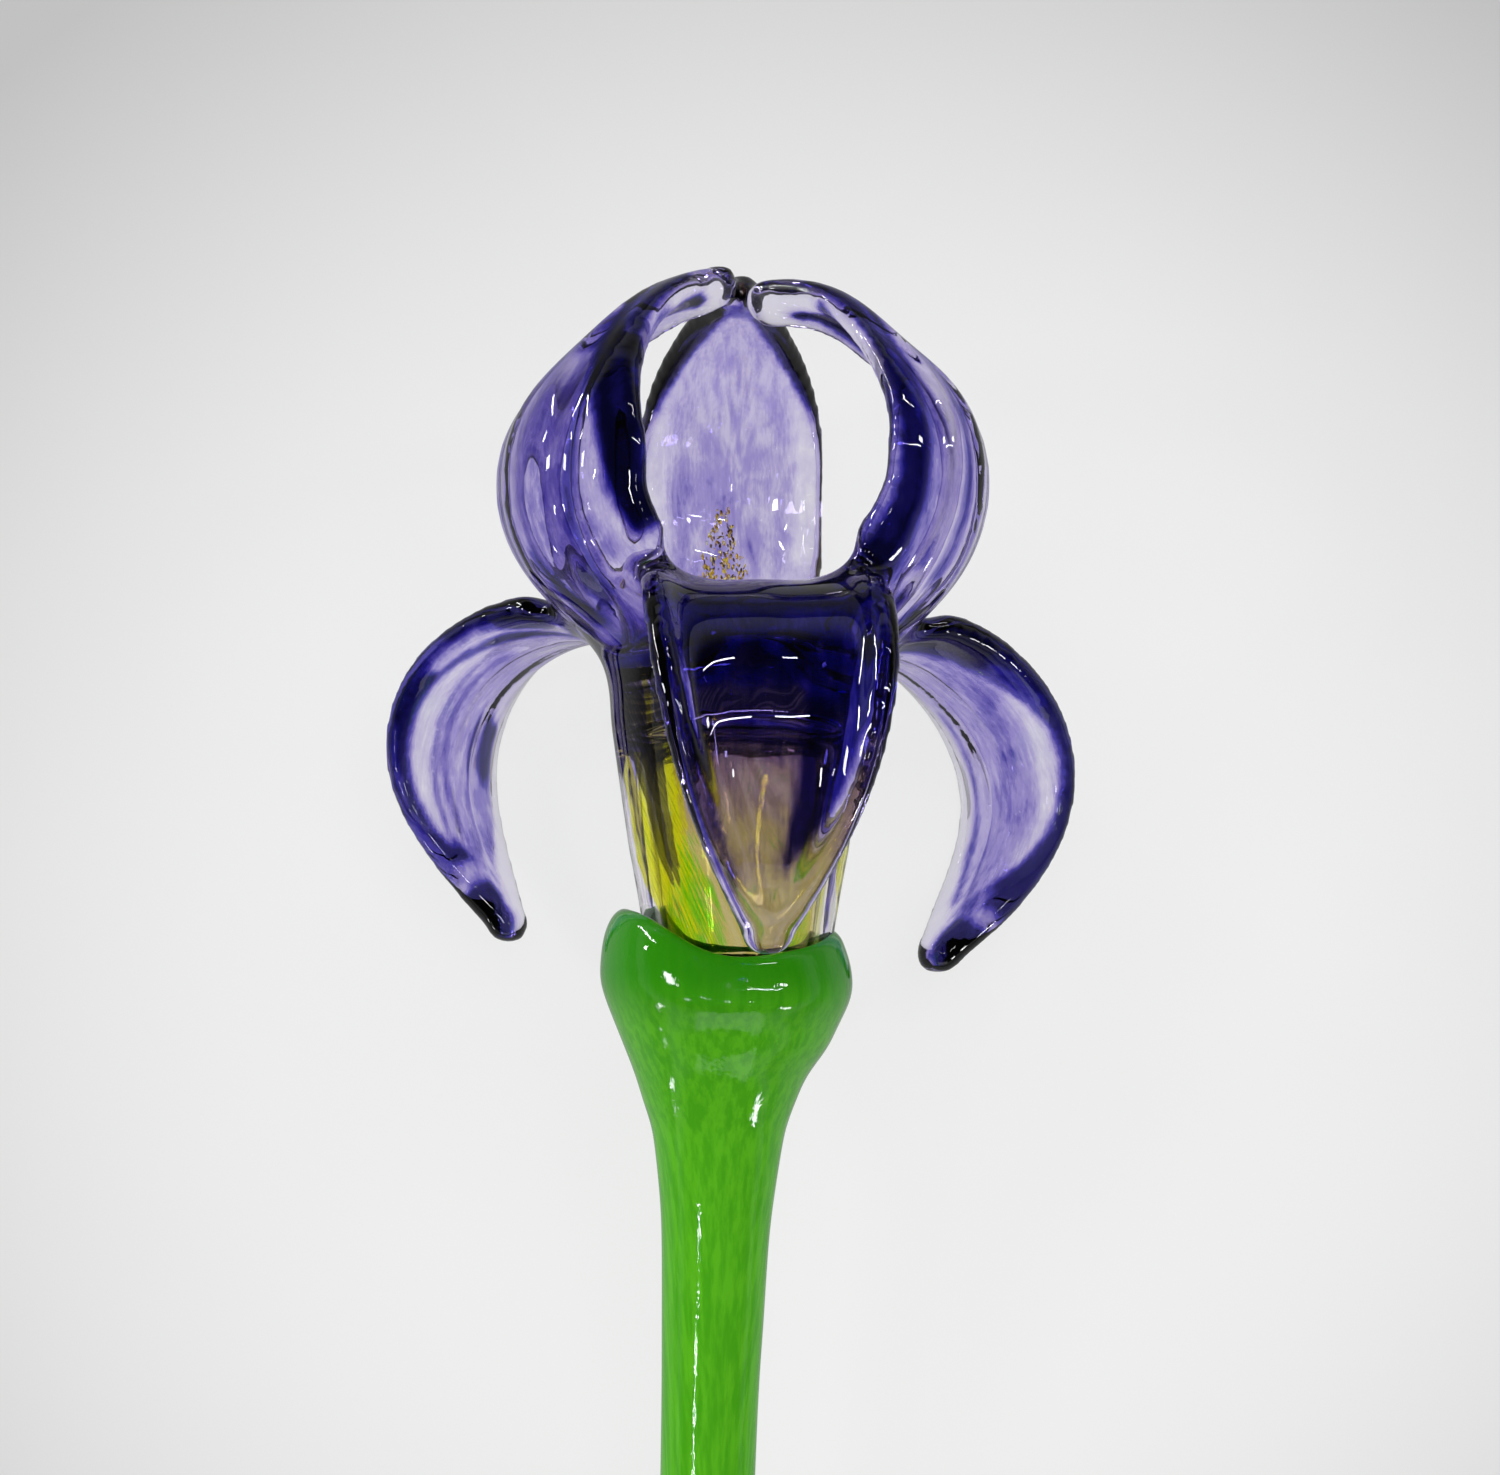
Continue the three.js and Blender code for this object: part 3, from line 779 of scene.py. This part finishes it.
# Glass is the throat's this far out of every petal and this near to its own wall.
OFF_PETALS = (0.2, 2.2)
ON_THROAT = (0.5, 2.5)
# How far apart the streaks of two parts lie, and the rounds that even out what is laid on the glass.
PART_SPACING = 50.0
COLOUR_ROUNDS = 2
THROAT_ROUNDS = 6


def of_owner(values, owner):
    """Each point's value from the part that owns it."""
    return np.take_along_axis(values, owner[None], 0)[0]


def soft_band(low, high, edge, x):
    """1 between low and high and 0 outside them, with soft edges."""
    return step(low - edge, low + edge, x) * step(high + edge, high - edge, x)


def along_run(places, start, end, x):
    """1 from the first place to the last, fading in and out over spans measured from them."""
    fade_in = step(places[0] + start[0], places[0] + start[1], x)
    return fade_in * step(places[-1] + end[0], places[-1] + end[1], x)


def laid_colour(parts, owner):
    """How much colour each point holds: its petal's own amount, more towards the roots, and over it the
    strokes, whose soft edges run straight from place to place along the petal. The strokes paint shade,
    highlights and glints as well as colour."""
    u, across, off = (of_owner(parts[key], owner) for key in ("u", "across", "off"))
    hollow = step(0.5, -0.5, off)
    sides = {"hollow": hollow, "back": 1 - hollow}
    amount = BASE_AMOUNT[owner] + ROOT_AMOUNT * step(*ROOT_FADE, u)
    for name, strokes in STROKES.items():
        here = owner == PETAL_NAMES.index(name)
        for depth, places, *side in strokes:
            at, low, high = np.array(places).T / 100
            low, high = np.interp(u, at, low), np.interp(u, at, high)
            over = soft_band(low, high, STROKE_EDGE, across)
            run = along_run(at, STROKE_START, STROKE_END, u)
            laid = here * over * run * (sides[side[0]] if side else 1.0)
            amount = amount + laid * (depth / 100 - amount)
    return amount


def throat_paint(at):
    """Shares of yellow, dark and green round the throat: the streaks, and dark over its top."""
    height, angle = at[:, 1], np.degrees(np.arctan2(at[:, 0], at[:, 2]))
    edge = sum(rise * np.sin(np.radians(waves * angle + start)) for rise, waves, start in DARK_WAVES)
    shares = dict(yellow=np.zeros(len(at)), dark=step(*DARK_TOP, height + edge), green=np.zeros(len(at)))
    for turn in THROAT_TURNS:
        there = (angle - turn + 180) % 360 - 180
        for kind, amount, places in THROAT_STREAKS:
            up, low, high = np.array(places).T
            low, high = np.interp(height, up, low), np.interp(height, up, high)
            over = soft_band(low, high, STREAK_EDGE, there)
            run = along_run(up, STREAK_START, STREAK_END, height)
            shares[kind] = shares[kind] + over * run * (amount - shares[kind])
    return np.stack([shares["yellow"], shares["dark"], shares["green"]], 1)


def front_veil(at):
    """1 over the front of the throat, behind the front petal, and 0 elsewhere."""
    angle = np.degrees(np.arctan2(at[:, 0], at[:, 2]))
    return step(*FRONT_LEFT, angle) * step(*FRONT_RIGHT, angle)


def spread(mesh, values, rounds):
    """Values at points evened out between neighbours, round by round."""
    a, b, count = edge_ends(mesh)
    n = len(values)
    for _ in range(rounds):
        mean = (np.bincount(a, values[b], n) + np.bincount(b, values[a], n)) / count
        values = 0.5 * values + 0.5 * mean
    return values


def mark_glass(bloom):
    """Point attributes of the glass: streak_at (across, along, part), colour_share (with painted shade,
    highlights and glints in it), throat_share (1 on the throat, fading into the petals), height,
    throat_paint and front_veil."""
    at = unlay(read_points(bloom.data))
    parts = read_parts(at)
    petals_only = parts["outside"][:THROAT]
    petal = petals_only.argmin(0)
    throat_share = step(*OFF_PETALS, petals_only.min(0)) * (1 - step(*ON_THROAT, parts["outside"][THROAT]))
    owner = np.where(throat_share > 0.5, THROAT, petal)
    across, along = of_owner(parts["sideways"], owner), of_owner(parts["along"], owner)
    mark(
        bloom,
        streak_at=np.stack([across, along, owner * PART_SPACING], 1),
        colour_share=spread(bloom.data, laid_colour(parts, petal), COLOUR_ROUNDS),
        throat_share=spread(bloom.data, throat_share, THROAT_ROUNDS),
        height=at[:, 1],
        throat_paint=throat_paint(at),
        front_veil=front_veil(at),
    )


def mark_lining(lining):
    """Point attributes of the lining: streak_at on a cylinder, which has no seam, height and middle."""
    at = unlay(read_points(lining.data))
    t = np.arctan2(at[:, 2], at[:, 0]) - STREAK_LEAN * at[:, 1]
    round_it = np.stack([np.cos(t) * LINING_GIRTH, at[:, 1], np.sin(t) * LINING_GIRTH], 1)
    left, right = LINING_MIDDLE
    middle = step(*left, at[:, 0]) * step(*right, at[:, 0])
    mark(lining, streak_at=round_it, height=at[:, 1], middle=middle)


# Materials


def new_material(name):
    """A material, its node tree and its Principled shader."""
    material = bpy.data.materials.new(name)
    material.use_nodes = True
    tree = material.node_tree
    return material, tree, tree.nodes["Principled BSDF"]


def fill(tree, n, inputs):
    """Sets plain values on a node's inputs, and links other nodes' outputs to them."""
    for key, value in inputs.items():
        socket = n.inputs[key]
        if isinstance(value, bpy.types.NodeSocket):
            tree.links.new(value, socket)
        else:
            socket.default_value = (*value, 1.0) if socket.type == "RGBA" else value


def node(tree, kind, inputs, output, **settings):
    """One output of a new node."""
    n = tree.nodes.new(kind)
    for key, value in settings.items():
        setattr(n, key, value)
    fill(tree, n, inputs)
    return n.outputs[output]


def attribute(tree, name, output="Fac"):
    return node(tree, "ShaderNodeAttribute", {}, output, attribute_name=name)


def maths(tree, operation, *values, clamp=False):
    return node(tree, "ShaderNodeMath", dict(enumerate(values)), 0, operation=operation, use_clamp=clamp)


def band(tree, value, low, high, to_low=0.0, to_high=1.0):
    """A smooth rise of value from low to high, as to_low to to_high."""
    inputs = {"Value": value, "From Min": low, "From Max": high, "To Min": to_low, "To Max": to_high}
    return node(tree, "ShaderNodeMapRange", inputs, "Result", interpolation_type="SMOOTHSTEP")


def blend(tree, share, a, b):
    """Colour a, giving way to colour b by share."""
    return node(tree, "ShaderNodeMix", {0: share, 6: a, 7: b}, 2, data_type="RGBA")


def streak_group():
    """The node group of all streaks and grain: noise over a place that is stretched and shifted first."""
    group = bpy.data.node_groups.new("glass_streaks", "ShaderNodeTree")
    for name in ("Place", "Stretch", "Shift"):
        group.interface.new_socket(name, in_out="INPUT", socket_type="NodeSocketVector")
    for name in ("Scale", "Detail", "Roughness"):
        group.interface.new_socket(name, in_out="INPUT", socket_type="NodeSocketFloat")
    group.interface.new_socket("Streaks", in_out="OUTPUT", socket_type="NodeSocketFloat")
    given = group.nodes.new("NodeGroupInput").outputs
    place = {"Vector": given["Place"], "Scale": given["Stretch"], "Location": given["Shift"]}
    inputs = {"Vector": node(group, "ShaderNodeMapping", place, "Vector")}
    inputs |= {name: given[name] for name in ("Scale", "Detail", "Roughness")}
    noise = node(group, "ShaderNodeTexNoise", inputs, "Fac")
    fill(group, group.nodes.new("NodeGroupOutput"), {"Streaks": noise})
    return group


STREAK_GROUP = streak_group()


def streaks(tree, place, scale, detail, roughness, stretch, shift=(0, 0, 0)):
    """The streak group, placed in a material with its own values."""
    inputs = {"Place": place, "Stretch": stretch, "Shift": shift}
    inputs |= {"Scale": scale, "Detail": detail, "Roughness": roughness}
    return node(tree, "ShaderNodeGroup", inputs, "Streaks", node_tree=STREAK_GROUP)


def absorb(tree, let_through, depth_mm=3, headroom=1.02):
    """Volume absorption that lets these shares of red, green and blue pass glass this deep. The density is
    a little above the largest loss a metre, and a colour is 1 less its loss over the density."""
    taken = -np.log(np.array(let_through)) / (depth_mm / 1000)
    density = float(taken.max() * headroom)
    inputs = {"Color": (1 - taken / density).tolist(), "Density": density}
    volume = node(tree, "ShaderNodeVolumeAbsorption", inputs, "Volume")
    fill(tree, tree.nodes["Material Output"], {"Volume": volume})


def ramp(tree, share, stops):
    """Colours at places from 0 to 1, blended between them."""
    n = tree.nodes.new("ShaderNodeValToRGB")
    n.color_ramp.interpolation = "EASE"
    for place, colour in stops[1:-1]:
        n.color_ramp.elements.new(place)
    for element, (place, colour) in zip(n.color_ramp.elements, stops):
        element.position = place
        element.color = (*colour, 1.0)
    fill(tree, n, {"Fac": share})
    return n.outputs["Color"]


# What 3 mm of the violet glass lets through, and its colours by amount.
VIOLET_THROUGH = (0.945, 0.935, 0.975)
VIOLET_STOPS = [
    (0.0, (0.95, 0.94, 0.98)),
    (0.25, (0.70, 0.65, 0.87)),
    (0.45, (0.40, 0.34, 0.72)),
    (0.62, (0.13, 0.10, 0.48)),
    (0.76, (0.016, 0.012, 0.24)),
    (0.88, (0.002, 0.0018, 0.025)),
    (1.0, (0.0002, 0.0002, 0.001)),
]
# Colours of the throat's wall, of its lining, of the stem and of the grains.
WALL = dict(
    clear=(0.97, 0.96, 0.93),
    tan=(0.52, 0.38, 0.30),
    tan_low=(0.80, 0.70, 0.20),
    tan_cloud=(0.95, 0.86, 0.66),
    yellow=(0.92, 0.95, 0.010),
    yellow_thread=(0.52, 0.56, 0.02),
    green=(0.22, 0.78, 0.02),
    dark=(0.004, 0.003, 0.006),
    dark_low=(0.06, 0.055, 0.015),
    dark_thread=(0.10, 0.09, 0.03),
    dark_front=(0.20, 0.17, 0.42),
)
INSIDE = dict(
    clear=(0.98, 0.97, 0.94),
    yellow=(0.92, 0.92, 0.06),
    green=(0.36, 0.80, 0.04),
    olive=(0.30, 0.24, 0.06),
)
ROD = dict(mid=(0.092, 0.52, 0.013), pale=(0.148, 0.66, 0.02), collar=(0.032, 0.34, 0.005))
GOLD_STOPS = [
    (0.0, (0.20, 0.07, 0.01)),
    (0.25, (0.50, 0.25, 0.03)),
    (0.5, (0.75, 0.52, 0.06)),
    (0.75, (0.85, 0.74, 0.12)),
    (0.85, (0.9, 0.86, 0.7)),
    (1.0, (0.95, 0.93, 0.86)),
]


def violet_glass():
    """Clear to deep violet glass with wispy streaks, fainter where it is very deep or clear, and with the
    throat's colours over the throat. Its amounts hold painted shade along the rims and in the tips' slots,
    and a painted highlight and glints, as well as the glass's own colour."""
    material, tree, shader = new_material("violet_glass")
    place = attribute(tree, "streak_at", "Vector")
    fine = streaks(tree, place, 1.0, 5.0, 0.65, stretch=(1.0, 0.2, 1))
    broad = streaks(tree, place, 1.0, 3.0, 0.6, stretch=(0.3, 0.12, 1), shift=(3, 1, 0))
    wisps = maths(tree, "ADD", maths(tree, "MULTIPLY", fine, 0.5), maths(tree, "MULTIPLY", broad, 0.5))
    wisps = maths(tree, "MULTIPLY", maths(tree, "SUBTRACT", wisps, 0.5), 1.1)
    depth = attribute(tree, "colour_share")
    deep, clear = band(tree, depth, 0.62, 0.9, 1.0, 0.22), band(tree, depth, 0.0, 0.2, 0.2, 1.0)
    held = maths(tree, "MULTIPLY", deep, clear)
    share = maths(tree, "ADD", depth, maths(tree, "MULTIPLY", wisps, held), clamp=True)
    petals = ramp(tree, share, VIOLET_STOPS)
    colour = blend(tree, attribute(tree, "throat_share"), petals, throat_colours(tree, place))
    fill(tree, shader, {"Base Color": colour, "Roughness": 0.015, "IOR": 1.5, "Transmission Weight": 1.0})
    absorb(tree, VIOLET_THROUGH)
    return material


def ragged(tree, share, grain, depth):
    """1 where share, roughened by depth x grain, passes a half."""
    pushed = maths(tree, "MULTIPLY_ADD", maths(tree, "SUBTRACT", grain, 0.5), depth, share)
    return band(tree, pushed, 0.38, 0.62)


def throat_colours(tree, place):
    """Clear glass, tan over its front, with ragged yellow, green and dark streaks."""
    height = attribute(tree, "height")
    paint = attribute(tree, "throat_paint", "Vector")
    laid = [node(tree, "ShaderNodeSeparateXYZ", {0: paint}, axis) for axis in range(3)]
    shreds = streaks(tree, place, 1.0, 4.0, 0.62, stretch=(0.9, 0.10, 1))
    threads = streaks(tree, place, 1.0, 4.0, 0.62, stretch=(2.2, 0.12, 1), shift=(11, 40, 3))
    clouds = streaks(tree, place, 1.0, 3.0, 0.6, stretch=(0.5, 0.08, 1), shift=(5, 8, 9))
    tan = blend(tree, band(tree, height, 22, 12), WALL["tan"], WALL["tan_low"])
    tan = blend(tree, band(tree, clouds, 0.4, 0.62, 0.0, 0.3), tan, WALL["tan_cloud"])
    veil = attribute(tree, "front_veil")
    colour = blend(tree, veil, WALL["clear"], tan)
    yellow = blend(tree, band(tree, threads, 0.5, 0.6), WALL["yellow"], WALL["yellow_thread"])
    colour = blend(tree, ragged(tree, laid[0], shreds, 1.6), colour, yellow)
    colour = blend(tree, ragged(tree, laid[2], threads, 3.0), colour, WALL["green"])
    dark = blend(tree, band(tree, height, 27, 18), WALL["dark"], WALL["dark_low"])
    dark = blend(tree, band(tree, threads, 0.5, 0.62), dark, WALL["dark_thread"])
    dark = blend(tree, veil, dark, WALL["dark_front"])
    return blend(tree, ragged(tree, laid[1], shreds, 1.3), colour, dark)


def streaked_glass():
    """Clear glass with yellow streaks, greener towards the foot, and olive threads, clear in its middle."""
    material, tree, shader = new_material("streaked_clear_glass")
    place = attribute(tree, "streak_at", "Vector")
    height = attribute(tree, "height")
    shreds = streaks(tree, place, 1.0, 4.0, 0.62, stretch=(0.5, 0.06, 0.5))
    green = streaks(tree, place, 1.0, 4.0, 0.6, stretch=(0.5, 0.09, 0.5), shift=(40, 7, 3))
    olive = streaks(tree, place, 1.0, 4.0, 0.6, stretch=(1.0, 0.072, 1.0), shift=(9, 70, 2))
    cover = band(tree, maths(tree, "ADD", shreds, band(tree, height, 34, 10, -0.08, 0.04)), 0.55, 0.61)
    green = band(tree, maths(tree, "ADD", green, band(tree, height, 9, -3, -0.1, 0.14)), 0.52, 0.58)
    streak = blend(tree, green, INSIDE["yellow"], INSIDE["green"])
    colour = blend(tree, cover, INSIDE["clear"], streak)
    colour = blend(tree, band(tree, olive, 0.62, 0.68), colour, INSIDE["olive"])
    colour = blend(tree, attribute(tree, "middle"), colour, INSIDE["clear"])
    fill(tree, shader, {"Base Color": colour, "Roughness": 0.02, "IOR": 1.45, "Transmission Weight": 1.0})
    return material


def green_glass():
    """Cloudy green glass, darker in the collar, with fine streaks along the stem and an uneven gloss."""
    material, tree, shader = new_material("green_glass")
    place = node(tree, "ShaderNodeTexCoord", {}, "Object")
    fine = streaks(tree, place, 900.0, 3.0, 0.6, stretch=(1, 0.03, 1))
    colour = blend(tree, band(tree, fine, 0.35, 0.65), ROD["mid"], ROD["pale"])
    height = attribute(tree, "height")
    colour = blend(tree, band(tree, height, -16, -5, 0.0, 0.9), colour, ROD["collar"])
    grain = streaks(tree, place, 1500.0, 2.0, 0.5, stretch=(1, 0.25, 1))
    bump = {"Strength": 0.35, "Distance": 0.0001, "Height": grain}
    normal = node(tree, "ShaderNodeBump", bump, "Normal")
    fill(tree, shader, {"Base Color": colour, "Roughness": 0.04, "IOR": 1.5, "Transmission Weight": 0.12})
    fill(tree, shader, {"Normal": normal})
    return material


def gold_glass():
    """Opaque glass grains from amber and gold to brown, one tone each."""
    material, tree, shader = new_material("gold_glass")
    tones = ramp(tree, attribute(tree, "tone"), GOLD_STOPS)
    fill(tree, shader, {"Base Color": tones, "Roughness": 0.12, "IOR": 1.5})
    return material


def give(piece, material):
    """Gives the piece its material, and lets it ride on the flower."""
    piece.data.materials.clear()
    piece.data.materials.append(material)
    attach(piece, "root")


# Studio


def pale_floor():
    """A wide floor that glows in a soft pool round the flower. Glass sees it darker further out and pure
    reflections dimmer, so that thick rims have dark edges."""
    size = FLOOR_HALF_WIDTH
    mesh = bpy.data.meshes.new("floor")
    corners = [(-size, -size, 0), (size, -size, 0), (size, size, 0), (-size, size, 0)]
    mesh.from_pydata(corners, [], [(0, 1, 2, 3)])
    floor = add_object("floor", mesh)
    material, tree, shader = new_material("floor")
    place = node(tree, "ShaderNodeTexCoord", {}, "Object")
    away = node(tree, "ShaderNodeVectorMath", {0: place, 1: FLOOR_MIDDLE}, "Value", operation="DISTANCE")
    glow = band(tree, away, *FLOOR_EDGES, FLOOR_NEAR, FLOOR_FAR)
    kinds = ("Is Camera Ray", "Is Glossy Ray", "Is Transmission Ray")
    camera, glossy, through = (node(tree, "ShaderNodeLightPath", {}, kind) for kind in kinds)
    glow = maths(tree, "MAXIMUM", glow, maths(tree, "MULTIPLY", camera, FLOOR_SEEN_FAR))
    mirrored = maths(tree, "SUBTRACT", glossy, through, clamp=True)
    fill(tree, shader, {
        "Base Color": FLOOR_COLOUR,
        "Roughness": 0.9,
        "Specular IOR Level": 0.0,
        "Emission Color": blend(tree, glow, (0, 0, 0), (1, 1, 1)),
        "Emission Strength": maths(tree, "MULTIPLY_ADD", mirrored, -FLOOR_MIRROR_LOSS, 1.0),
    })
    mesh.materials.append(material)


def studio_world():
    """Pale at the horizon and dark overhead, so that thick glass has dark edges."""
    world = bpy.data.worlds.new("studio")
    bpy.context.scene.world = world
    world.use_nodes = True
    tree = world.node_tree
    place = node(tree, "ShaderNodeTexCoord", {}, "Generated")
    up = node(tree, "ShaderNodeSeparateXYZ", {0: place}, "Z")
    colour = blend(tree, band(tree, up, *SKY_EDGES), SKY_LOW, SKY_HIGH)
    fill(tree, tree.nodes["Background"], {"Color": colour, "Strength": 1.0})


def flower_axes():
    """The flower's x, y and z directions in the row frame."""
    origin = lay((0.0, 0.0, 0.0))
    return [Vector((lay(d) - origin).tolist()).normalized() for d in np.eye(3) * 100]


def lamp(name, at_mm, size_mm, strength, level=False, shown=True):
    """A rectangular lamp of this brightness that faces the bloom, or that lies level with the flower's x
    and only leans to it. One that isn't shown gives no highlight."""
    data = bpy.data.lights.new(name, "AREA")
    data.shape = "RECTANGLE"
    data.size, data.size_y = size_mm[0] * MM, size_mm[1] * MM
    data.energy = strength * math.pi * data.size * data.size_y
    made = add_object(name, data)
    place = Vector(lay(at_mm).tolist())
    right = flower_axes()[0]
    facing = place - Vector(lay(LAMP_AIM).tolist())
    facing = (facing - right * facing.dot(right) if level else facing).normalized()
    across = (right - facing * right.dot(facing)).normalized()
    turn = Matrix((across, facing.cross(across), facing)).transposed().to_4x4()
    made.matrix_world = Matrix.Translation(place) @ turn
    made.visible_glossy = shown
    made.visible_transmission = shown
    made.visible_camera = False


def studio_camera():
    """The camera, straight before the flower's front."""
    data = bpy.data.cameras.new("camera")
    data.sensor_width = 36.0
    data.lens = 36.0 * VIEW_DISTANCE / VIEW_WIDTH
    camera = add_object("camera", data)
    turn = Matrix(flower_axes()).transposed().to_4x4()
    place = Matrix.Translation(Vector(lay((*VIEW_AIM, VIEW_DISTANCE)).tolist()))
    camera.matrix_world = place @ turn
    bpy.context.scene.camera = camera


# The flower and its studio

bloom = glass_bloom()
lining = streaked_lining()
stem = green_stem()
for piece in (bloom, stem):
    ground_flats(piece)
mark_glass(bloom)
mark_lining(lining)
give(bloom, violet_glass())
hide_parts(*PETAL_NAMES)
give(lining, streaked_glass())
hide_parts("throat_tube")
give(gold_grains(), gold_glass())
give(stem, green_glass())
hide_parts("stem")

pale_floor()
studio_world()
for tube in TUBES:
    lamp(*tube, level=True)
for window in WINDOWS:
    lamp(*window)
lamp(*SOFT_LAMP, shown=False)
studio_camera()
bpy.context.scene.view_settings.view_transform = "Standard"
bpy.context.scene.view_settings.look = "None"
